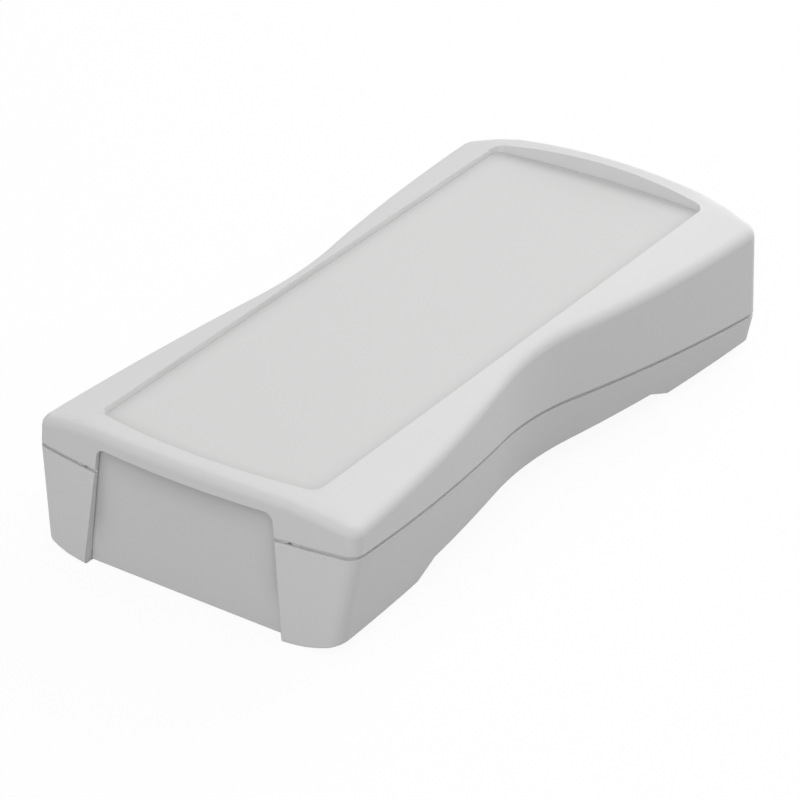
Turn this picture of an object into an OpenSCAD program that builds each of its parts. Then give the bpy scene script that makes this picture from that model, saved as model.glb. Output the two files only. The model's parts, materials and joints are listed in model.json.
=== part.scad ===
// Handheld instrument case: two moulded half shells with a slanting split, an end panel and four screws.
// Everything below is drawn with the split at z = 0, then tilted so that the feet stand on the floor.
// The near end carries the panel and lies towards -Y, and the case is symmetric about x = 0.

/* [Plan outline] */
// Half width of the case at its near end
near_half_w = 43.4; // [40:0.2:46]
// Half width of the case at its far end
far_half_w = 41.8; // [39:0.2:44]
// Half width of the case at its waist
waist_half_w = 33.4; // [31:0.2:35]
// Distance from the middle to the near corners
near_y = 75.1; // [70:0.1:80]
// Distance from the middle to the far corners
far_y = 76.2; // [70:0.1:80]
// Place of the waist along the case
waist_y = 0.6; // [-4:0.2:6]
// Radius of the hollow at the waist
waist_r = 67; // [50:1:75]
// How far beyond the near corners the sides would run straight
near_ease = 20; // [10:1:25]
// How far beyond the far corners the sides would run straight
far_ease = 10; // [5:1:20]
// How far the near end bows out between its corners
near_bow = 4.4; // [3.5:0.1:4.6]
// How far the far end bows out between its corners
far_bow = 1.9; // [1:0.1:4]
// Radius of the upright corners at the split and above it
corner_r = 3.2; // [3.2:0.1:4.5]
// Radius of the upright corners at the base
base_corner_r = 3.6; // [3.2:0.1:6]

/* [Heights and slopes] */
// Height of the crest of the top above the split, at the middle
top_h = 17.9; // [17.5:0.1:21]
// Angle between the top and the split, rising to the far end
top_slope = 6.3; // [5.5:0.1:7]
// Radius of the top's crown across the near end
near_crown_r = 490; // [400:10:2000]
// Radius of the top's crown across the far end
far_crown_r = 235; // [180:1:300]
// Outward tilt of the rim beside the keypad recess, in degrees
rim_tilt = 9; // [4:0.5:14]
// Depth of the base below the split, at the middle
base_h = 15.9; // [15.4:0.1:18]
// Angle between the base and the split, rising to the far end
base_slope = 5.2; // [4:0.1:5.5]
// Draft of the upper walls
upper_draft = 1.5; // [0.5:0.1:2]
// Draft of the lower side walls
side_draft = 8.3; // [6:0.1:10]
// Lean of the lower end walls towards the near end
end_lean = 3.9; // [1:0.1:4]
// Radius of the top edge
edge_r = 2; // [1.5:0.1:2.8]
// Radius of the bottom edge
base_edge_r = 0.8; // [0.5:0.1:1.2]
// Half width of the flat part of the base
base_flat = 26; // [22:0.5:28]
// Radius at which the base curves up beside the flat part
base_roll_r = 45; // [40:1:80]

/* [Walls] */
// Thickness of the side walls
wall = 2.4; // [2:0.1:2.8]
// Thickness of the keypad floor
floor_t = 1.8; // [1.6:0.1:2.2]
// Thickness of the base
bottom_t = 2.2; // [1.8:0.1:2.6]

/* [Keypad recess] */
// Distance from the case's side to the recess floor, at the waist
side_rim = 4.6; // [4.2:0.1:6.5]
// Distance from the near end to the recess floor, at the middle
near_rim = 5.9; // [5.4:0.1:8]
// Distance from the far end to the recess floor, at the middle
far_rim = 5.9; // [5.4:0.1:8]
// How far the near edge of the recess bows out
recess_near_bow = 3.2; // [2:0.1:4.5]
// How far the far edge of the recess bows out
recess_far_bow = 1.6; // [0.8:0.1:3]
// Corner radius of the recess
recess_corner_r = 2.5; // [1.5:0.1:4]
// Depth of the recess at its side edges
recess_depth = 1.4; // [1:0.1:1.9]
// Slope of the recess walls out of the upright, in degrees
recess_draft = 20; // [8:1:45]
// Height of the small upright step round the recess floor
recess_step = 0.5; // [0.3:0.1:0.8]

/* [Split line] */
// Height of the shadow gap along the split
groove_h = 0.8; // [0.5:0.1:1.2]
// Depth of the shadow gap along the split
groove_d = 0.7; // [0.4:0.1:0.9]
// Thickness of the lower shell's tongue
tongue_t = 1; // [0.8:0.1:1.2]
// Height of the lower shell's tongue
tongue_h = 1.2; // [0.8:0.1:1.6]
// Clearance round the tongue
tongue_gap = 0.15; // [0.1:0.05:0.3]

/* [Feet] */
// Length of the near feet behind the near corners
near_foot_l = 23.5; // [20:0.5:28]
// Length of the far feet before the far corners
far_foot_l = 27; // [20:0.5:30]
// Height of the feet
foot_h = 4.1; // [3:0.1:4.5]
// Length of the ramp from a foot to the raised middle
foot_ramp = 10.5; // [6:0.5:12]

/* [End panel] */
// Half width of the panel's opening at the split
opening_half_w = 24; // [20:0.1:26]
// Angle at which the opening's sides flare towards the base
opening_flare = 6.9; // [3:0.1:8]
// Corner radius at the top of the opening
opening_r = 2.2; // [1:0.1:3]
// Depth of the panel's face behind the crest of the end wall
panel_set = 2.6; // [2.6:0.1:4]
// Thickness of the panel
panel_t = 2; // [1.6:0.1:2.4]
// Overlap of the panel behind the edge of its opening
panel_lap = 1.2; // [1:0.1:1.6]
// Thickness of the lip that covers the base's front edge
panel_lip_t = 1.2; // [0.8:0.1:1.4]
// Height by which the panel runs up into the rim
panel_rise = 1; // [0.4:0.1:1.6]
// Height of the panel's lower edge above the floor
panel_lift = 0.5; // [0.3:0.1:1.4]
// Clearance round the panel
panel_gap = 0.15; // [0.1:0.05:0.3]
// Width of the guide posts beside the panel
post_w = 3.5; // [2.5:0.1:5]
// Thickness of the guides behind the panel
guide_t = 1.6; // [1.2:0.1:2.4]

/* [Screws] */
// Distance from the case's side to the screws
screw_inset = 10.5; // [10:0.1:12]
// Distance from the corners to the screws, along the case
screw_back = 13; // [11:0.5:16]
// Diameter of the screw's shank
screw_d = 2.6; // [2.2:0.1:3]
// Diameter of the screw's head
head_d = 5.4; // [4.6:0.1:5.8]
// Height of the screw's head
head_h = 2; // [1.6:0.1:2.4]
// Depth of the far screw heads below the base
head_sink = 0.7; // [0.4:0.1:1]
// Width of the cross recess's arms
drive_w = 0.9; // [0.7:0.05:1.1]
// Depth of the cross recess
drive_h = 1.2; // [0.8:0.1:1.4]
// Clearance round the screw in its pilot hole
pilot_gap = 0.05; // [0.03:0.01:0.1]
// Clearance round the shank in the lower shell
shank_gap = 0.35; // [0.2:0.05:0.5]
// Clearance round the head
head_gap = 0.4; // [0.3:0.05:0.6]
// Wall of the screw bosses in the lower shell
boss_wall = 1.6; // [1.3:0.1:2]
// Wall of the screw bosses in the upper shell
upper_boss_wall = 2.1; // [1.6:0.1:2.4]
// Material left above the pilot hole, under the keypad floor
pilot_roof = 0.9; // [0.5:0.1:1.5]

/* [Board pillars] */
// Half the distance between the pillars across the case
pillar_x = 20; // [14:0.5:24]
// Half the distance between the pillars along the case
pillar_y = 32; // [24:0.5:36]
// Depth of the pillars' tops below the split
pillar_drop = 4; // [3:0.1:5]
// Diameter of the pillars
pillar_d = 6; // [5:0.1:8]
// Diameter of the pillars' pilot holes
pillar_bore = 2.2; // [1.8:0.1:2.6]

/* [Hidden] */
$fn = 48;
case_grey = [0.84, 0.84, 0.83];
panel_grey = [0.80, 0.80, 0.79];
screw_steel = [0.62, 0.63, 0.65];

// Steps along each stretch of half the outline
end_steps = 6;
corner_steps = 5;
side_steps = 14;
waist_steps = 12;
edge_steps = 5;
rim_steps = 3;
half_steps = 2 * end_steps + 2 * corner_steps + 2 * side_steps + waist_steps;
ring_n = 2 * half_steps;
// Length by which a cutting shape runs past what it cuts
over = 1;
// Depth by which a boss runs up into the keypad floor
boss_root = 0.4;
// Thickness that the rim has beyond the keypad floor's
rim_extra = 0.5;
// Turn of the base's curved sides, and the steps that draw it
roll_turn = 30;
roll_step = 3;
// Length by which that curve's first chord is drawn on below the base
roll_lead = 8;
// Length of a cutting shape that runs right out of the case
far_out = 60;

// Heights of the sloping faces over the split
function crown(y) = let (t = (y + near_y) / (near_y + far_y)) (1 - t) / near_crown_r + t / far_crown_r;
function rim_drop(x) = max(0, abs(x) - recess_half_w) * tan(rim_tilt);
function top_z(p) = top_h + p.y * tan(top_slope) - p.x * p.x / 2 * crown(p.y) - rim_drop(p.x);
function floor_z(y) = top_z([recess_half_w, y]) - recess_depth;
function ceiling_z(y) = floor_z(y) - floor_t;
function roof_z(p) = min(ceiling_z(p.y), top_z(p) - floor_t - rim_extra);
function foot_z(y) = -base_h + y * tan(base_slope);
function inner_z(y) = foot_z(y) + bottom_t;

// Circles that make the outline: the sides meet the waist's hollow in tangents
function side_radius(half_w, reach) =
    ((waist_half_w + waist_r - half_w) ^ 2 + reach ^ 2 - waist_r ^ 2) / (2 * (half_w - waist_half_w));
function bow_radius(half_w, bow) = (half_w ^ 2 + bow ^ 2) / (2 * bow);
near_side_r = side_radius(near_half_w, waist_y + near_y + near_ease);
far_side_r = side_radius(far_half_w, far_y + far_ease - waist_y);
near_end_r = bow_radius(near_half_w, near_bow);
far_end_r = bow_radius(far_half_w, far_bow);
near_side_c = [near_half_w - near_side_r, -near_y - near_ease];
far_side_c = [far_half_w - far_side_r, far_y + far_ease];
near_end_c = [0, near_end_r - near_y - near_bow];
far_end_c = [0, far_y + far_bow - far_end_r];
waist_c = [waist_half_w + waist_r, waist_y];

// Where two circles cross, on the side of c1-c2 that the sign picks
function circles_meet(c1, r1, c2, r2, sign) =
    let (v = c2 - c1, d = norm(v), a = (r1 ^ 2 - r2 ^ 2 + d ^ 2) / (2 * d), h = sqrt(r1 ^ 2 - a ^ 2))
    c1 + v * (a / d) + sign * h / d * [-v.y, v.x];
// Direction from one point to another, between -90 and 270 degrees
function bearing(from, to) = let (a = atan2(to.y - from.y, to.x - from.x)) a < -90.001 ? a + 360 : a;

// Points of an arc, each with its outward normal; the last point belongs to the next arc
function arc(c, r, a1, a2, steps, side = 1) =
    [for (i = [0 : steps - 1])
        let (a = a1 + (a2 - a1) * i / steps, n = [cos(a), sin(a)]) [c + r * n, side * n]];

// Right half of the case's outline, from the middle of the near end to the middle of the far end
function half_outline(r) = let (
    near_c = circles_meet(near_end_c, near_end_r - r, near_side_c, near_side_r - r, 1),
    far_c = circles_meet(far_end_c, far_end_r - r, far_side_c, far_side_r - r, -1),
    near_end_a = bearing(near_end_c, near_c),
    near_side_a = bearing(near_side_c, near_c),
    far_side_a = bearing(far_side_c, far_c),
    far_end_a = bearing(far_end_c, far_c))
    concat(
        arc(near_end_c, near_end_r, -90, near_end_a, end_steps),
        arc(near_c, r, near_end_a, near_side_a, corner_steps),
        arc(near_side_c, near_side_r, near_side_a, bearing(near_side_c, waist_c), side_steps),
        arc(waist_c, waist_r, bearing(waist_c, near_side_c), bearing(waist_c, far_side_c), waist_steps, -1),
        arc(far_side_c, far_side_r, bearing(far_side_c, waist_c), far_side_a, side_steps),
        arc(far_c, r, far_side_a, far_end_a, corner_steps),
        arc(far_end_c, far_end_r, far_end_a, 90, end_steps),
        [[[0, far_y + far_bow], [0, 1]]]);
half_case = half_outline(corner_r);
half_base = half_outline(base_corner_r);

// Keypad recess: straight sides between two bowed ends, in the same steps as the case's outline
recess_half_w = waist_half_w - side_rim;
recess_near_y = near_y + near_bow - near_rim - recess_near_bow;
recess_far_y = far_y + far_bow - far_rim - recess_far_bow;
recess_near_r = bow_radius(recess_half_w, recess_near_bow);
recess_far_r = bow_radius(recess_half_w, recess_far_bow);
recess_near_c = [0, recess_near_r - recess_near_y - recess_near_bow];
recess_far_c = [0, recess_far_y + recess_far_bow - recess_far_r];
recess_corner_x = recess_half_w - recess_corner_r;
near_recess_corner = [recess_corner_x, recess_near_c.y
    - sqrt((recess_near_r - recess_corner_r) ^ 2 - recess_corner_x ^ 2)];
far_recess_corner = [recess_corner_x, recess_far_c.y
    + sqrt((recess_far_r - recess_corner_r) ^ 2 - recess_corner_x ^ 2)];
long_steps = 2 * side_steps + waist_steps;
half_recess = concat(
    arc(recess_near_c, recess_near_r, -90, bearing(recess_near_c, near_recess_corner), end_steps),
    arc(near_recess_corner, recess_corner_r, bearing(recess_near_c, near_recess_corner), 0, corner_steps),
    [for (i = [0 : long_steps - 1]) let (t = i / long_steps)
        [[recess_half_w, near_recess_corner.y * (1 - t) + far_recess_corner.y * t], [1, 0]]],
    arc(far_recess_corner, recess_corner_r, 0, bearing(recess_far_c, far_recess_corner), corner_steps),
    arc(recess_far_c, recess_far_r, bearing(recess_far_c, far_recess_corner), 90, end_steps),
    [[[0, recess_far_y + recess_far_bow], [0, 1]]]);
// Upper edge of the recess, where its sloping walls come out on the rim
half_edge = [for (e = half_recess)
    let (rise = top_z(e[0]) - floor_z(e[0].y) - recess_step)
    [e[0] + rise * tan(recess_draft) * e[1], e[1]]];

// Both halves of an outline as one ring, moved in by d
function ring(half, d = 0) = let (right = [for (e = half) e[0] - d * e[1]])
    concat(right, [for (i = [half_steps - 1 : -1 : 1]) [-right[i].x, right[i].y]]);

// A ring set at the heights that a face gives, with the walls' draft
function drafted(p, z) = let (k = z * tan(upper_draft))
    [p.x * (1 - k / near_half_w), p.y * (1 - k / near_y), z];
function upper_ring(d, drop) = [for (p = ring(half_case, d)) drafted(p, top_z(p) - drop)];
function roof_ring(d) = [for (p = ring(half_case, d)) drafted(p, roof_z(p))];
function leaning_z(y, rise) = (foot_z(y) + rise) / (1 - tan(end_lean) * tan(base_slope));
function lower_ring(d, rise) = [for (p = ring(half_base, d)) let (z = leaning_z(p.y, rise))
    [p.x * (1 + z * tan(side_draft) / near_half_w), p.y + z * tan(end_lean), z]];
function level_ring(d, z) = [for (p = ring(half_case, d)) [p.x, p.y, z]];
function rim_ring(t) = let (rim = upper_ring(edge_r, 0), edge = ring(half_edge))
    [for (i = [0 : ring_n - 1])
        let (p = [rim[i].x, rim[i].y] * (1 - t) + edge[i] * t) [p.x, p.y, top_z(p)]];
function recess_ring(rise) = [for (p = ring(half_recess)) [p.x, p.y, floor_z(p.y) + rise]];

// Solid through a stack of rings from the lowest to the highest, closed by rows of flat faces
module loft(rings) {
    last = (len(rings) - 1) * ring_n;
    walls = [for (k = [0 : len(rings) - 2], i = [0 : ring_n - 1])
        let (a = k * ring_n + i, b = k * ring_n + (i + 1) % ring_n)
        each [[a, a + ring_n, b + ring_n], [a, b + ring_n, b]]];
    rows = concat([[0, 1, ring_n - 1]],
        [for (i = [1 : half_steps - 2]) [i, i + 1, ring_n - i - 1, ring_n - i]],
        [[half_steps - 1, half_steps, half_steps + 1]]);
    lids = concat([for (f = rows) f], [for (f = rows) [for (i = [len(f) - 1 : -1 : 0]) f[i] + last]]);
    polyhedron([for (r = rings) each r], concat(walls, lids), convexity = 6);
}

// Screws and pillars
near_screw = [near_half_w - screw_inset, -near_y + screw_back];
far_screw = [far_half_w - screw_inset, far_y - screw_back];
screw_spots = [for (s = [near_screw, far_screw], side = [-1, 1]) [side * s.x, s.y]];
seat_z = foot_z(far_screw.y) + head_sink + head_h;
bite = ceiling_z(near_screw.y) - pilot_roof;
pilot_d = screw_d + 2 * pilot_gap;
head_hole_d = head_d + 2 * head_gap;
lower_boss_d = head_hole_d + 2 * boss_wall;
upper_boss_d = pilot_d + 2 * upper_boss_wall;
pillar_spots = [for (x = [-pillar_x, pillar_x], y = [-pillar_y, pillar_y]) [x, y]];

// End panel, seen from the near end: x across and z up
panel_y = -near_y - near_bow + panel_set;
panel_back = panel_y + panel_t + panel_gap;
panel_low = inner_z(panel_y + panel_t) + panel_gap;
panel_foot = foot_z(panel_y) + panel_lift;
panel_top = ceiling_z(panel_y) + panel_rise;
opening_top = panel_top - panel_lap;
function opening_w(z) = opening_half_w - z * tan(opening_flare);
panel_half_w = opening_w(panel_low) + panel_lap;

// Outline with upright or flaring sides and two round top corners
module arched(half_w_low, half_w_high, low, high, r) {
    polygon([[-half_w_low, low], [half_w_low, low], [half_w_high, high - r], [-half_w_high, high - r]]);
    translate([-half_w_high + r, high - 2 * r]) square([2 * (half_w_high - r), 2 * r]);
    for (side = [-1, 1])
        translate([side * (half_w_high - r), high - r]) circle(r);
}

// Plate that stands across the case, from one y to another, with the outline given in x and z
module across(y1, y2) {
    translate([0, y2, 0]) rotate([90, 0, 0]) linear_extrude(y2 - y1) children();
}

module panel_opening() {
    across(-far_out - near_y, panel_y + panel_lip_t + panel_gap)
        arched(opening_w(-far_out), opening_w(opening_top - opening_r), -far_out, opening_top, opening_r);
}

module panel_slot() {
    across(panel_y - panel_gap, panel_back)
        translate([-panel_half_w - panel_gap, panel_low - panel_gap])
            square([2 * (panel_half_w + panel_gap), panel_top + 2 * panel_gap - panel_low]);
}

// Stands the tilted case on its feet, with the origin under the middle of its length
post_y = near_y + near_bow * (1 - (opening_w(foot_z(-near_y)) / near_half_w) ^ 2);
post_z = leaning_z(-post_y, base_edge_r);
reach_near = (post_y - post_z * tan(end_lean)) * cos(base_slope) - post_z * sin(base_slope);
far_wall_h = top_z([0, far_y]) - edge_r;
reach_far = (far_y + far_bow) * (1 - far_wall_h * tan(upper_draft) / near_y) * cos(base_slope)
    + far_wall_h * sin(base_slope);
module on_feet() {
    translate([0, (reach_near - reach_far) / 2, base_h * cos(base_slope)])
        rotate([-base_slope, 0, 0]) children();
}

// Lays a shape drawn over the floor on the slope of the base
module on_base() {
    translate([0, 0, -base_h]) rotate([base_slope, 0, 0]) children();
}

// Space under the raised middle of the base, or the same form moved up inside
module arch(rise) {
    near_foot_y = -near_y + near_foot_l;
    far_foot_y = far_y - far_foot_l;
    rotate([90, 0, 90]) linear_extrude(2 * far_out, center = true)
        polygon([[near_foot_y - over, foot_z(near_foot_y - over) + rise - over * foot_h / foot_ramp],
            [near_foot_y + foot_ramp, foot_z(near_foot_y + foot_ramp) + rise + foot_h],
            [far_foot_y - foot_ramp, foot_z(far_foot_y - foot_ramp) + rise + foot_h],
            [far_foot_y + over, foot_z(far_foot_y + over) + rise - over * foot_h / foot_ramp]]);
}

// Space under the base where it curves up to the sides, or the same form moved up inside
module roll(rise) {
    for (side = [0, 1])
        mirror([side, 0, 0]) on_base() rotate([90, 0, 0]) linear_extrude(4 * far_out, center = true)
            polygon(concat([[far_out, rise - over],
                [base_flat - roll_lead, rise - roll_lead * tan(roll_step / 2)]],
                [for (a = [0 : roll_step : roll_turn])
                    [base_flat + base_roll_r * sin(a), rise + base_roll_r * (1 - cos(a))]],
                [[far_out, rise + base_roll_r * (1 - cos(roll_turn))]]));
}

module upper_body() {
    loft(concat([level_ring(0, 0)],
        [for (i = [0 : edge_steps]) let (a = 90 * i / edge_steps)
            upper_ring(edge_r * (1 - cos(a)), edge_r * (1 - sin(a)))],
        [for (i = [1 : rim_steps]) rim_ring(i / rim_steps)],
        [recess_ring(recess_step), recess_ring(0)]));
}

module upper_cavity() {
    rebate_d = wall - tongue_t - tongue_gap;
    loft([level_ring(rebate_d, -over), level_ring(rebate_d, tongue_h + tongue_gap),
        level_ring(wall, tongue_h + tongue_gap), roof_ring(wall), recess_ring(-floor_t)]);
}

module lower_body() {
    loft(concat(
        [for (i = [0 : edge_steps - 2]) let (a = 90 - 90 * i / (edge_steps - 2))
            lower_ring(base_edge_r * (1 - cos(a)), base_edge_r * (1 - sin(a)))],
        [level_ring(0, -groove_h), level_ring(groove_d, -groove_h), level_ring(groove_d, 0),
            level_ring(wall - tongue_t, 0), level_ring(wall - tongue_t, tongue_h)]));
}

module lower_cavity() {
    loft([lower_ring(wall, bottom_t), level_ring(wall, 0), level_ring(wall, tongue_h + over)]);
}

module upper_shell() {
    color(case_grey) on_feet() difference() {
        union() {
            difference() {
                upper_body();
                upper_cavity();
            }
            for (s = screw_spots)
                translate(s) cylinder(d = upper_boss_d, h = ceiling_z(s.y) + boss_root);
            across(panel_back, panel_back + guide_t)
                translate([-panel_half_w, opening_top - panel_lap])
                    square([2 * panel_half_w, panel_lap + panel_top - opening_top + floor_t / 2]);
        }
        for (s = screw_spots)
            translate([s.x, s.y, -over]) cylinder(d = pilot_d, h = over + bite);
        panel_opening();
        panel_slot();
    }
}

module lower_shell() {
    color(case_grey) on_feet() difference() {
        union() {
            difference() {
                lower_body();
                difference() {
                    lower_cavity();
                    arch(bottom_t);
                    roll(bottom_t);
                }
                arch(0);
                roll(0);
            }
            for (s = screw_spots)
                translate([s.x, s.y, foot_z(s.y) + bottom_t / 2])
                    cylinder(d = lower_boss_d, h = -foot_z(s.y) - bottom_t / 2);
            for (s = pillar_spots)
                translate([s.x, s.y, foot_z(s.y) + foot_h + bottom_t / 2])
                    cylinder(d = pillar_d, h = -foot_z(s.y) - foot_h - bottom_t / 2 - pillar_drop);
            for (side = [-1, 1])
                translate([side * (panel_half_w - panel_lap + post_w / 2), 0, 0])
                    across(panel_y, panel_back + guide_t)
                        translate([-post_w / 2, panel_low - bottom_t / 2])
                            square([post_w, bottom_t / 2 - panel_low]);
        }
        for (s = screw_spots) {
            translate([s.x, s.y, -far_out]) cylinder(d = head_hole_d, h = far_out + seat_z);
            translate([s.x, s.y, seat_z - over])
                cylinder(d = screw_d + 2 * shank_gap, h = 2 * over - seat_z);
        }
        for (s = pillar_spots)
            translate([s.x, s.y, inner_z(s.y) + foot_h]) cylinder(d = pillar_bore, h = far_out);
        panel_opening();
        panel_slot();
    }
}

module end_panel() {
    color(panel_grey) on_feet() {
        across(panel_y, panel_y + panel_t)
            arched(panel_half_w, panel_half_w, panel_low, panel_top, opening_r);
        across(panel_y, panel_y + panel_lip_t)
            polygon([for (s = [-1, 1], z = s < 0 ? [panel_low, panel_foot] : [panel_foot, panel_low])
                [s * (opening_w(z) - panel_gap), z]]);
    }
}

module case_screws() {
    color(screw_steel) on_feet()
        for (s = screw_spots)
            translate([s.x, s.y, seat_z]) difference() {
                union() {
                    translate([0, 0, -head_h]) cylinder(d = head_d, h = head_h);
                    cylinder(d = screw_d, h = bite - seat_z - pilot_roof);
                }
                for (turn = [0, 90])
                    translate([0, 0, -head_h]) rotate(turn)
                        cube([head_d - 2 * drive_w, drive_w, 2 * drive_h], center = true);
            }
}

upper_shell();
lower_shell();
end_panel();
case_screws();
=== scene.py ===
import json
import math

import bmesh
import bpy
from bpy.props import FloatProperty, FloatVectorProperty, PointerProperty
from bpy.types import Operator, Panel, PropertyGroup
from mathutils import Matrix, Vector


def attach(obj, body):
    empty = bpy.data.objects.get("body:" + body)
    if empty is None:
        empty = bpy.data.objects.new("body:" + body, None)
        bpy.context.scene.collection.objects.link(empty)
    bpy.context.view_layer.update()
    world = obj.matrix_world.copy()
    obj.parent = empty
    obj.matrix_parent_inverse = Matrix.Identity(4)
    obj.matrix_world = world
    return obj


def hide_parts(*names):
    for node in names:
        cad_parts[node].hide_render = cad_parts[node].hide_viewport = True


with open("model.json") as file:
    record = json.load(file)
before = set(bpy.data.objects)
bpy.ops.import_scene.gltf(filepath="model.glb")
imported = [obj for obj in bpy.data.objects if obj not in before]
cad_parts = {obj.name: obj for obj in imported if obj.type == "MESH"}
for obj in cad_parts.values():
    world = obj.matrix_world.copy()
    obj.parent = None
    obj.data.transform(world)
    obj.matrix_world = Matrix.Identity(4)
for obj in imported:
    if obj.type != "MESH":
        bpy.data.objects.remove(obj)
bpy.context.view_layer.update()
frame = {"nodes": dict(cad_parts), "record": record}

bl_info = {
    "name": "Handheld Case Looks",
    "version": (1, 0, 0),
    "blender": (4, 5, 0),
    "location": "3D View > Sidebar > Handheld Case",
    "description": "Gives a packed handheld case its smooth mouldings, finishes and studio",
    "category": "Object",
}

WHITE = (1.0, 1.0, 1.0, 1.0)
BLACK = (0.0, 0.0, 0.0, 1.0)

# Merging a CAD node's loose triangles, in metres and radians
MERGE_GAP = 0.000002
FLAT_ANGLE = math.radians(0.02)

# Faces of the keypad floor: how well the normal agrees and how near the plane they lie
FIELD_ALIGNMENT = 0.9999
FIELD_GAP = 0.0001

# Folds on the upper side: least angle, and least upward part of the normals before and after
FOLD_ANGLE = math.radians(8)
FOLD_UPWARD = 0.7
TURNED_UPWARD = 0.5

# Moulded plastic
GRAIN_DETAIL = 2.0
CLOUD_SCALE = 45.0
CLOUD_DETAIL = 3.0
CLOUD_ROUGHNESS = 0.04
EDGE_SAMPLES = 6
PLASTIC_SHINE = 0.4
PLASTIC_IOR = 1.49

# Painted corner shade, darkening put into the base colour where less light reaches: openness at
# which it is full, and heights between which it fades in over the floor
SHADE_SAMPLES = 32
SHADE_FULL = 0.85
SHADE_FLOOR_CLEAR = 0.005
SHADE_FLOOR_FULL = 0.012

# Sockets of a Mix node for colours
MIX_FACTOR, MIX_COLOUR_A, MIX_COLOUR_B, MIX_COLOUR_OUT = 0, 6, 7, 2

# Studio, in metres: each lamp's name, power setting, place and width
LAMPS = (
    ("right_lamp", "right_power", (0.744, 0.0, 0.936), 1.2),
    ("top_lamp", "top_power", (0.0, 0.0, 1.2), 1.2),
    ("front_lamp", "front_power", (0.0, -1.07, 0.545), 1.1),
    ("back_lamp", "back_power", (0.0, 1.07, 0.545), 1.1),
)
FLOOR_GREY = (0.5, 0.5, 0.5, 1.0)
FLOOR_PALE = (0.97, 0.97, 0.97, 1.0)
FLOOR_ROUGHNESS = 0.9
FLOOR_SHINE = 0.1

# Camera: sensor width in millimetres, clipping distances in metres
SENSOR_WIDTH = 36.0
CLIP_NEAR = 0.01
CLIP_FAR = 20.0


class ShellLook(PropertyGroup):
    """Finish of the two moulded half shells."""

    colour: FloatVectorProperty(
        name="Colour",
        description="Colour of the shell plastic",
        subtype="COLOR",
        size=4,
        min=0.0,
        max=1.0,
        default=(0.70, 0.70, 0.70, 1.0),
    )
    roughness: FloatProperty(
        name="Roughness",
        description="Roughness of the matt moulded skin",
        subtype="FACTOR",
        min=0.0,
        max=1.0,
        default=0.52,
    )
    grain_size: FloatProperty(
        name="Grain size",
        description="Width of one grain of the moulded texture",
        unit="LENGTH",
        min=0.0001,
        max=0.002,
        default=0.0005,
    )
    grain_depth: FloatProperty(
        name="Grain depth",
        description="Depth of the moulded texture",
        unit="LENGTH",
        min=0.0,
        max=0.0001,
        default=0.000008,
    )
    edge_round: FloatProperty(
        name="Edge rounding",
        description="Radius that the light finds at the moulding's sharp edges",
        unit="LENGTH",
        min=0.0,
        max=0.001,
        default=0.0003,
    )
    field_colour: FloatVectorProperty(
        name="Keypad field colour",
        description="Colour of the recessed floor that takes a keypad or a label",
        subtype="COLOR",
        size=4,
        min=0.0,
        max=1.0,
        default=(0.665, 0.665, 0.66, 1.0),
    )
    field_roughness: FloatProperty(
        name="Keypad field roughness",
        description="Roughness of the recessed floor",
        subtype="FACTOR",
        min=0.0,
        max=1.0,
        default=0.6,
    )
    # Painted shade: how far and how strongly the keypad field's base colour is darkened out of
    # its corners
    shade_reach: FloatProperty(
        name="Corner shade reach",
        description="How far the soft shade reaches out of a corner",
        unit="LENGTH",
        min=0.0,
        max=0.02,
        default=0.005,
    )
    shade_depth: FloatProperty(
        name="Corner shade depth",
        description="Share of the colour that the soft shade takes away in a corner",
        subtype="FACTOR",
        min=0.0,
        max=0.5,
        default=0.13,
    )
    smooth_angle: FloatProperty(
        name="Smooth angle",
        description="Faces that meet at less than this angle are shaded as one surface",
        subtype="ANGLE",
        min=0.0,
        max=math.pi,
        default=math.radians(32),
    )


class PanelLook(PropertyGroup):
    """Finish of the flat end panel."""

    colour: FloatVectorProperty(
        name="Colour",
        description="Colour of the panel plastic",
        subtype="COLOR",
        size=4,
        min=0.0,
        max=1.0,
        default=(0.68, 0.68, 0.68, 1.0),
    )
    roughness: FloatProperty(
        name="Roughness",
        description="Roughness of the matt panel",
        subtype="FACTOR",
        min=0.0,
        max=1.0,
        default=0.55,
    )
    # Painted shade: how far and how strongly the panel's base colour is darkened out of its
    # corners
    shade_reach: FloatProperty(
        name="Corner shade reach",
        description="How far the soft shade reaches out of a corner",
        unit="LENGTH",
        min=0.0,
        max=0.02,
        default=0.007,
    )
    shade_depth: FloatProperty(
        name="Corner shade depth",
        description="Share of the colour that the soft shade takes away in a corner",
        subtype="FACTOR",
        min=0.0,
        max=0.5,
        default=0.19,
    )


class ScrewLook(PropertyGroup):
    """Finish of the case screws."""

    colour: FloatVectorProperty(
        name="Colour",
        description="Colour of the plated steel",
        subtype="COLOR",
        size=4,
        min=0.0,
        max=1.0,
        default=(0.58, 0.58, 0.57, 1.0),
    )
    roughness: FloatProperty(
        name="Roughness",
        description="Roughness of the plated steel",
        subtype="FACTOR",
        min=0.0,
        max=1.0,
        default=0.34,
    )


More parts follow.
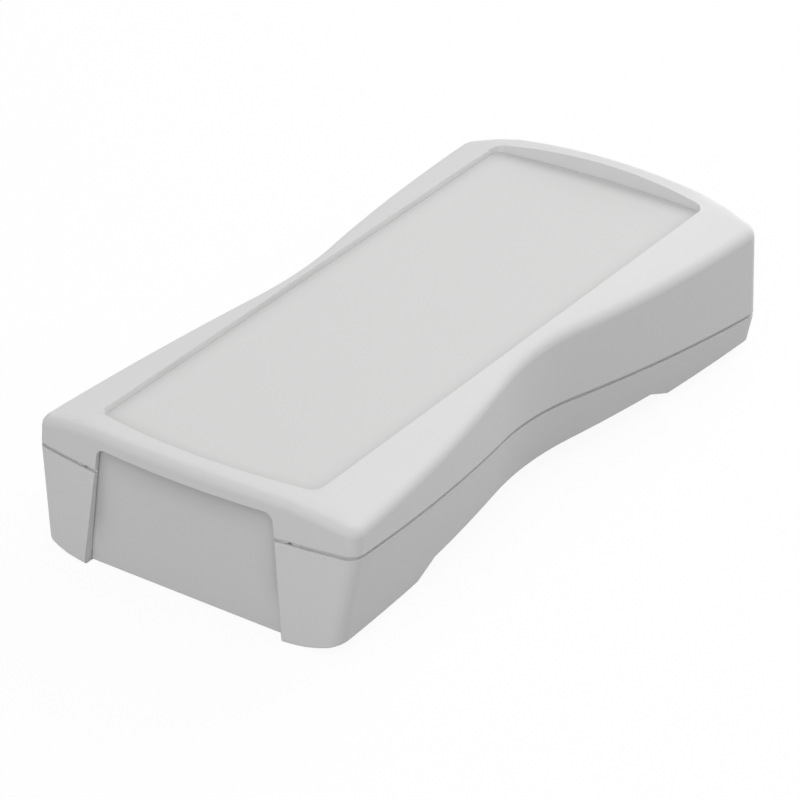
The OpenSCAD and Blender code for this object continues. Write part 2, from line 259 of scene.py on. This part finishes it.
class StageLook(PropertyGroup):
    """Floor, lights and camera."""

    camera_place: FloatVectorProperty(
        name="Camera place",
        description="Where the camera stands",
        subtype="TRANSLATION",
        unit="LENGTH",
        size=3,
        default=(0.47331, -0.59704, 0.45652),
    )
    camera_turn: FloatVectorProperty(
        name="Camera turn",
        description="How the camera is turned",
        subtype="EULER",
        size=3,
        default=(math.radians(59.5832), math.radians(2.4325), math.radians(37.1473)),
    )
    lens: FloatProperty(
        name="Lens",
        description="Focal length in millimetres on a sensor 36 mm wide",
        min=20.0,
        max=400.0,
        default=180.0,
    )
    floor_half: FloatProperty(
        name="Floor half width",
        description="Half the width of the square floor",
        unit="LENGTH",
        min=0.5,
        max=10.0,
        default=3.0,
    )
    floor_drop: FloatProperty(
        name="Floor drop",
        description="How far the floor lies under the feet",
        unit="LENGTH",
        min=0.0,
        max=0.001,
        default=0.0001,
    )
    floor_white: FloatProperty(
        name="Floor white",
        description="Share of plain white that the camera sees on the floor",
        subtype="FACTOR",
        min=0.0,
        max=1.0,
        default=0.93,
    )
    right_power: FloatProperty(
        name="Right power",
        description="Power of the soft lamp high on the right, in watts",
        min=0.0,
        max=50.0,
        default=3.1,
    )
    top_power: FloatProperty(
        name="Top power",
        description="Power of the soft lamp straight above, in watts",
        min=0.0,
        max=50.0,
        default=2.9,
    )
    front_power: FloatProperty(
        name="Front power",
        description="Power of the soft lamp low in front, in watts",
        min=0.0,
        max=50.0,
        default=4.3,
    )
    back_power: FloatProperty(
        name="Back power",
        description="Power of the soft lamp low behind, in watts",
        min=0.0,
        max=50.0,
        default=9.6,
    )
    sky_strength: FloatProperty(
        name="Sky strength",
        description="Strength of the even light from all round",
        min=0.0,
        max=2.0,
        default=0.33,
    )


def fresh_material(name):
    """A new material with its shader, output and node tree."""
    material = bpy.data.materials.new(name)
    material.use_nodes = True
    tree = material.node_tree
    tree.nodes.clear()
    shader = add_node(tree, "ShaderNodeBsdfPrincipled", (0, 0))
    output = add_node(tree, "ShaderNodeOutputMaterial", (300, 0))
    tree.links.new(shader.outputs["BSDF"], output.inputs["Surface"])
    return material, tree, shader


def add_node(tree, kind, place):
    """A new node at a place in a node tree's editor."""
    node = tree.nodes.new(kind)
    node.location = place
    return node


def grain_group():
    """Shader group: the fine texture of a moulded skin as a normal and a roughness change."""
    made = bpy.data.node_groups.get("moulded_grain")
    if made:
        return made
    group = bpy.data.node_groups.new("moulded_grain", "ShaderNodeTree")
    face = group.interface
    face.new_socket("Grain size", in_out="INPUT", socket_type="NodeSocketFloat")
    face.new_socket("Grain depth", in_out="INPUT", socket_type="NodeSocketFloat")
    face.new_socket("Edge rounding", in_out="INPUT", socket_type="NodeSocketFloat")
    face.new_socket("Roughness", in_out="INPUT", socket_type="NodeSocketFloat")
    face.new_socket("Roughness", in_out="OUTPUT", socket_type="NodeSocketFloat")
    face.new_socket("Normal", in_out="OUTPUT", socket_type="NodeSocketVector")
    links = group.links
    given = add_node(group, "NodeGroupInput", (-900, 0))
    result = add_node(group, "NodeGroupOutput", (500, 0))
    place = add_node(group, "ShaderNodeTexCoord", (-900, 300))
    per_metre = add_node(group, "ShaderNodeMath", (-700, 100))
    per_metre.operation = "DIVIDE"
    per_metre.inputs[0].default_value = 1.0
    links.new(given.outputs["Grain size"], per_metre.inputs[1])
    grain = add_node(group, "ShaderNodeTexNoise", (-500, 200))
    grain.inputs["Detail"].default_value = GRAIN_DETAIL
    links.new(place.outputs["Object"], grain.inputs["Vector"])
    links.new(per_metre.outputs[0], grain.inputs["Scale"])
    soft = add_node(group, "ShaderNodeBevel", (-300, -200))
    soft.samples = EDGE_SAMPLES
    links.new(given.outputs["Edge rounding"], soft.inputs["Radius"])
    bump = add_node(group, "ShaderNodeBump", (200, 100))
    bump.inputs["Strength"].default_value = 1.0
    links.new(grain.outputs["Fac"], bump.inputs["Height"])
    links.new(given.outputs["Grain depth"], bump.inputs["Distance"])
    links.new(soft.outputs["Normal"], bump.inputs["Normal"])
    cloud = add_node(group, "ShaderNodeTexNoise", (-500, -400))
    cloud.inputs["Scale"].default_value = CLOUD_SCALE
    cloud.inputs["Detail"].default_value = CLOUD_DETAIL
    links.new(place.outputs["Object"], cloud.inputs["Vector"])
    spread = add_node(group, "ShaderNodeMapRange", (-300, -400))
    spread.inputs["To Min"].default_value = -CLOUD_ROUGHNESS
    spread.inputs["To Max"].default_value = CLOUD_ROUGHNESS
    links.new(cloud.outputs["Fac"], spread.inputs["Value"])
    sum_up = add_node(group, "ShaderNodeMath", (200, -300))
    sum_up.operation = "ADD"
    sum_up.use_clamp = True
    links.new(given.outputs["Roughness"], sum_up.inputs[0])
    links.new(spread.outputs["Result"], sum_up.inputs[1])
    links.new(sum_up.outputs[0], result.inputs["Roughness"])
    links.new(bump.outputs["Normal"], result.inputs["Normal"])
    return group


def painted_shade_group():
    """Shader group: painted shade, a colour that goes softly darker in corners where less light
    reaches, but not beside the floor.
    """
    made = bpy.data.node_groups.get("corner_shade")
    if made:
        return made
    group = bpy.data.node_groups.new("corner_shade", "ShaderNodeTree")
    face = group.interface
    face.new_socket("Colour", in_out="INPUT", socket_type="NodeSocketColor")
    face.new_socket("Reach", in_out="INPUT", socket_type="NodeSocketFloat")
    face.new_socket("Depth", in_out="INPUT", socket_type="NodeSocketFloat")
    face.new_socket("Colour", in_out="OUTPUT", socket_type="NodeSocketColor")
    links = group.links
    given = add_node(group, "NodeGroupInput", (-900, 0))
    result = add_node(group, "NodeGroupOutput", (500, 0))
    corner = add_node(group, "ShaderNodeAmbientOcclusion", (-700, 200))
    corner.samples = SHADE_SAMPLES
    links.new(given.outputs["Reach"], corner.inputs["Distance"])
    amount = add_node(group, "ShaderNodeMapRange", (-400, 200))
    amount.inputs["From Min"].default_value = SHADE_FULL
    amount.inputs["From Max"].default_value = 1.0
    amount.inputs["To Max"].default_value = 0.0
    links.new(corner.outputs["AO"], amount.inputs["Value"])
    links.new(given.outputs["Depth"], amount.inputs["To Min"])
    place = add_node(group, "ShaderNodeTexCoord", (-900, -300))
    parts = add_node(group, "ShaderNodeSeparateXYZ", (-700, -300))
    links.new(place.outputs["Object"], parts.inputs["Vector"])
    lift = add_node(group, "ShaderNodeMapRange", (-400, -300))
    lift.inputs["From Min"].default_value = SHADE_FLOOR_CLEAR
    lift.inputs["From Max"].default_value = SHADE_FLOOR_FULL
    links.new(parts.outputs["Z"], lift.inputs["Value"])
    share = add_node(group, "ShaderNodeMath", (-100, 100))
    share.operation = "MULTIPLY"
    links.new(amount.outputs["Result"], share.inputs[0])
    links.new(lift.outputs["Result"], share.inputs[1])
    darker = add_node(group, "ShaderNodeMix", (200, 0))
    darker.data_type = "RGBA"
    darker.inputs[MIX_COLOUR_B].default_value = BLACK
    links.new(share.outputs[0], darker.inputs[MIX_FACTOR])
    links.new(given.outputs["Colour"], darker.inputs[MIX_COLOUR_A])
    links.new(darker.outputs[MIX_COLOUR_OUT], result.inputs["Colour"])
    return group


def paint_corner_shade(material, colour, look):
    """Paint the soft corner shade into a material's base colour."""
    tree = material.node_tree
    shade = add_node(tree, "ShaderNodeGroup", (-300, 300))
    shade.node_tree = painted_shade_group()
    shade.inputs["Colour"].default_value = colour
    shade.inputs["Reach"].default_value = look.shade_reach
    shade.inputs["Depth"].default_value = look.shade_depth
    shader = tree.nodes["Principled BSDF"]
    tree.links.new(shade.outputs["Colour"], shader.inputs["Base Color"])


def plastic(name, colour, roughness, look):
    """A matt moulded plastic with fine grain."""
    material, tree, shader = fresh_material(name)
    skin = add_node(tree, "ShaderNodeGroup", (-300, 0))
    skin.node_tree = grain_group()
    skin.inputs["Grain size"].default_value = look.grain_size
    skin.inputs["Grain depth"].default_value = look.grain_depth
    skin.inputs["Edge rounding"].default_value = look.edge_round
    skin.inputs["Roughness"].default_value = roughness
    shader.inputs["Base Color"].default_value = colour
    shader.inputs["Specular IOR Level"].default_value = PLASTIC_SHINE
    shader.inputs["IOR"].default_value = PLASTIC_IOR
    tree.links.new(skin.outputs["Roughness"], shader.inputs["Roughness"])
    tree.links.new(skin.outputs["Normal"], shader.inputs["Normal"])
    return material


def keypad_faces(bm):
    """The faces of the upper shell that lie in the plane of the record's keypad floor."""
    mount = next(m for m in frame["record"]["mounts"] if m["name"] == "keypad_floor")
    point = Vector(mount["pos_m"])
    axis = Vector(mount["axis"])
    return [
        face
        for face in bm.faces
        if face.normal.dot(axis) > FIELD_ALIGNMENT
        and abs((face.calc_center_median() - point).dot(axis)) < FIELD_GAP
    ]


def worst_fold(edge):
    """The sharpest angle on the upper side at an edge and round its two faces."""
    if any(face.normal.z < TURNED_UPWARD for face in edge.link_faces):
        return math.pi
    around = {side for face in edge.link_faces for side in face.edges}
    return max(
        side.calc_face_angle(0.0)
        for side in around
        if all(face.normal.z > TURNED_UPWARD for face in side.link_faces)
    )


def turn_folds(bm):
    """Turn the diagonals of twisted quads on the upper side where that folds the skin less."""
    bm.normal_update()
    folded = [
        edge
        for edge in bm.edges
        if all(face.normal.z > FOLD_UPWARD for face in edge.link_faces)
        and edge.calc_face_angle(0.0) > FOLD_ANGLE
    ]
    for edge in sorted(folded, key=lambda fold: -fold.calc_face_angle(0.0)):
        if not edge.is_valid:
            continue
        before = worst_fold(edge)
        turned = bmesh.utils.edge_rotate(edge, False)
        if turned is None:
            continue
        for face in turned.link_faces:
            face.normal_update()
        if worst_fold(turned) >= before:
            kept = bmesh.utils.edge_rotate(turned, True)
            for face in kept.link_faces:
                face.normal_update()


def moulded_copy(node, name, material, angle, field=None):
    """A merged copy of a CAD node, shaded as smooth surfaces between its real edges."""
    bm = bmesh.new()
    bm.from_mesh(frame["nodes"][node].data)
    bmesh.ops.remove_doubles(bm, verts=bm.verts, dist=MERGE_GAP)
    if field:
        turn_folds(bm)
    bmesh.ops.dissolve_limit(
        bm,
        angle_limit=FLAT_ANGLE,
        use_dissolve_boundaries=False,
        verts=bm.verts,
        edges=bm.edges,
    )
    for face in bm.faces:
        face.smooth = True
        face.material_index = 0
    if field:
        for face in keypad_faces(bm):
            face.material_index = 1
    mesh = bpy.data.meshes.new(name)
    bm.to_mesh(mesh)
    bm.free()
    mesh.attributes.remove(mesh.attributes["custom_normal"])
    mesh.set_sharp_from_angle(angle=angle)
    mesh.materials.append(material)
    if field:
        mesh.materials.append(field)
    piece = bpy.data.objects.new(name, mesh)
    bpy.context.scene.collection.objects.link(piece)
    weighted = piece.modifiers.new("weighted_normals", "WEIGHTED_NORMAL")
    weighted.mode = "FACE_AREA_WITH_ANGLE"
    weighted.keep_sharp = True
    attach(piece, "root")
    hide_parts(node)
    return piece


class HANDCASE_OT_shells(Operator):
    """Make the smooth upper and lower shells"""

    bl_idname = "handcase.shells"
    bl_label = "Moulded shells"

    def execute(self, context):
        look = context.scene.handcase_shell
        skin = plastic("shell_plastic", look.colour, look.roughness, look)
        field = plastic("keypad_field", look.field_colour, look.field_roughness, look)
        # Painted shade: the keypad field's colour is darkened in its corners
        paint_corner_shade(field, look.field_colour, look)
        angle = look.smooth_angle
        moulded_copy("upper_shell", "upper_shell_moulding", skin, angle, field)
        moulded_copy("lower_shell", "lower_shell_moulding", skin, angle)
        return {"FINISHED"}


class HANDCASE_OT_panel(Operator):
    """Make the flat end panel"""

    bl_idname = "handcase.panel"
    bl_label = "End panel"

    def execute(self, context):
        look = context.scene.handcase_panel
        shell = context.scene.handcase_shell
        skin = plastic("panel_plastic", look.colour, look.roughness, shell)
        # Painted shade: the panel's colour is darkened in its corners
        paint_corner_shade(skin, look.colour, look)
        moulded_copy("end_panel", "end_panel_plate", skin, shell.smooth_angle)
        return {"FINISHED"}


class HANDCASE_OT_screws(Operator):
    """Make the four case screws"""

    bl_idname = "handcase.screws"
    bl_label = "Case screws"

    def execute(self, context):
        look = context.scene.handcase_screws
        angle = context.scene.handcase_shell.smooth_angle
        material, _, shader = fresh_material("screw_steel")
        shader.inputs["Base Color"].default_value = look.colour
        shader.inputs["Metallic"].default_value = 1.0
        shader.inputs["Roughness"].default_value = look.roughness
        moulded_copy("case_screws", "case_screws_steel", material, angle)
        return {"FINISHED"}


def seen_share(tree, share):
    """Node socket: a share for camera, glossy and transmission rays, and 0 for all others."""
    path = tree.nodes.new("ShaderNodeLightPath")
    first = tree.nodes.new("ShaderNodeMath")
    first.operation = "MAXIMUM"
    tree.links.new(path.outputs["Is Camera Ray"], first.inputs[0])
    tree.links.new(path.outputs["Is Glossy Ray"], first.inputs[1])
    second = tree.nodes.new("ShaderNodeMath")
    second.operation = "MAXIMUM"
    tree.links.new(first.outputs[0], second.inputs[0])
    tree.links.new(path.outputs["Is Transmission Ray"], second.inputs[1])
    scaled = tree.nodes.new("ShaderNodeMath")
    scaled.operation = "MULTIPLY"
    scaled.inputs[1].default_value = share
    tree.links.new(second.outputs[0], scaled.inputs[0])
    return scaled.outputs[0]


class HANDCASE_OT_stage(Operator):
    """Make the floor, the lights and the camera"""

    bl_idname = "handcase.stage"
    bl_label = "Studio"

    def execute(self, context):
        look = context.scene.handcase_stage
        self.make_floor(look)
        self.make_sky(context, look)
        for name, power, place, size in LAMPS:
            self.make_lamp(name, place, size, getattr(look, power))
        self.make_camera(context, look)
        context.scene.view_settings.view_transform = "Standard"
        return {"FINISHED"}

    def make_floor(self, look):
        """A floor that lights the part as grey and is seen as white with a faint shadow."""
        bm = bmesh.new()
        bmesh.ops.create_grid(bm, x_segments=1, y_segments=1, size=look.floor_half)
        bmesh.ops.translate(bm, verts=bm.verts, vec=(0.0, 0.0, -look.floor_drop))
        mesh = bpy.data.meshes.new("floor")
        bm.to_mesh(mesh)
        bm.free()
        floor = bpy.data.objects.new("floor", mesh)
        bpy.context.scene.collection.objects.link(floor)
        material, tree, shader = fresh_material("floor_white")
        tone = tree.nodes.new("ShaderNodeMix")
        tone.data_type = "RGBA"
        tone.inputs[MIX_COLOUR_A].default_value = FLOOR_GREY
        tone.inputs[MIX_COLOUR_B].default_value = FLOOR_PALE
        tree.links.new(seen_share(tree, 1.0), tone.inputs[MIX_FACTOR])
        tree.links.new(tone.outputs[MIX_COLOUR_OUT], shader.inputs["Base Color"])
        shader.inputs["Roughness"].default_value = FLOOR_ROUGHNESS
        shader.inputs["Specular IOR Level"].default_value = FLOOR_SHINE
        plain = tree.nodes.new("ShaderNodeEmission")
        mix = tree.nodes.new("ShaderNodeMixShader")
        output = tree.nodes["Material Output"]
        tree.links.new(seen_share(tree, look.floor_white), mix.inputs["Fac"])
        tree.links.new(shader.outputs["BSDF"], mix.inputs[1])
        tree.links.new(plain.outputs["Emission"], mix.inputs[2])
        tree.links.new(mix.outputs["Shader"], output.inputs["Surface"])
        mesh.materials.append(material)

    def make_sky(self, context, look):
        """Even light from all round, seen as plain white."""
        world = bpy.data.worlds.new("studio_sky")
        world.use_nodes = True
        tree = world.node_tree
        tree.nodes.clear()
        light = tree.nodes.new("ShaderNodeBackground")
        light.inputs["Color"].default_value = WHITE
        light.inputs["Strength"].default_value = look.sky_strength
        plain = tree.nodes.new("ShaderNodeBackground")
        plain.inputs["Color"].default_value = WHITE
        mix = tree.nodes.new("ShaderNodeMixShader")
        output = tree.nodes.new("ShaderNodeOutputWorld")
        tree.links.new(seen_share(tree, 1.0), mix.inputs["Fac"])
        tree.links.new(light.outputs["Background"], mix.inputs[1])
        tree.links.new(plain.outputs["Background"], mix.inputs[2])
        tree.links.new(mix.outputs["Shader"], output.inputs["Surface"])
        context.scene.world = world

    def make_lamp(self, name, place, size, power):
        """A square lamp that faces the part."""
        data = bpy.data.lights.new(name, "AREA")
        data.shape = "SQUARE"
        data.size = size
        data.energy = power
        lamp = bpy.data.objects.new(name, data)
        lamp.location = place
        lamp.rotation_euler = lamp.location.to_track_quat("Z", "Y").to_euler()
        bpy.context.scene.collection.objects.link(lamp)

    def make_camera(self, context, look):
        """The camera at the photograph's viewing angle."""
        data = bpy.data.cameras.new("camera")
        data.sensor_width = SENSOR_WIDTH
        data.lens = look.lens
        data.clip_start = CLIP_NEAR
        data.clip_end = CLIP_FAR
        camera = bpy.data.objects.new("camera", data)
        camera.location = look.camera_place
        camera.rotation_euler = look.camera_turn
        context.scene.collection.objects.link(camera)
        context.scene.camera = camera


class HANDCASE_PT_sidebar(Panel):
    """Lists the steps and their settings"""

    bl_idname = "HANDCASE_PT_sidebar"
    bl_label = "Handheld Case"
    bl_space_type = "VIEW_3D"
    bl_region_type = "UI"
    bl_category = "Handheld Case"

    def draw(self, context):
        column = self.layout.column()
        for operator, group in STEPS:
            column.operator(operator.bl_idname)
            look = getattr(context.scene, group)
            for name in look.__annotations__:
                column.prop(look, name)


LOOKS = (
    ("handcase_shell", ShellLook),
    ("handcase_panel", PanelLook),
    ("handcase_screws", ScrewLook),
    ("handcase_stage", StageLook),
)
STEPS = (
    (HANDCASE_OT_shells, "handcase_shell"),
    (HANDCASE_OT_panel, "handcase_panel"),
    (HANDCASE_OT_screws, "handcase_screws"),
    (HANDCASE_OT_stage, "handcase_stage"),
)


def register():
    for name, look in LOOKS:
        bpy.utils.register_class(look)
        setattr(bpy.types.Scene, name, PointerProperty(type=look))
    for operator, _ in STEPS:
        bpy.utils.register_class(operator)
    bpy.utils.register_class(HANDCASE_PT_sidebar)


def unregister():
    bpy.utils.unregister_class(HANDCASE_PT_sidebar)
    for operator, _ in reversed(STEPS):
        bpy.utils.unregister_class(operator)
    for name, look in reversed(LOOKS):
        delattr(bpy.types.Scene, name)
        bpy.utils.unregister_class(look)


def main():
    register()
    bpy.ops.handcase.shells()
    bpy.ops.handcase.panel()
    bpy.ops.handcase.screws()
    bpy.ops.handcase.stage()
    bpy.context.view_layer.update()


if __name__ == "__main__":
    main()
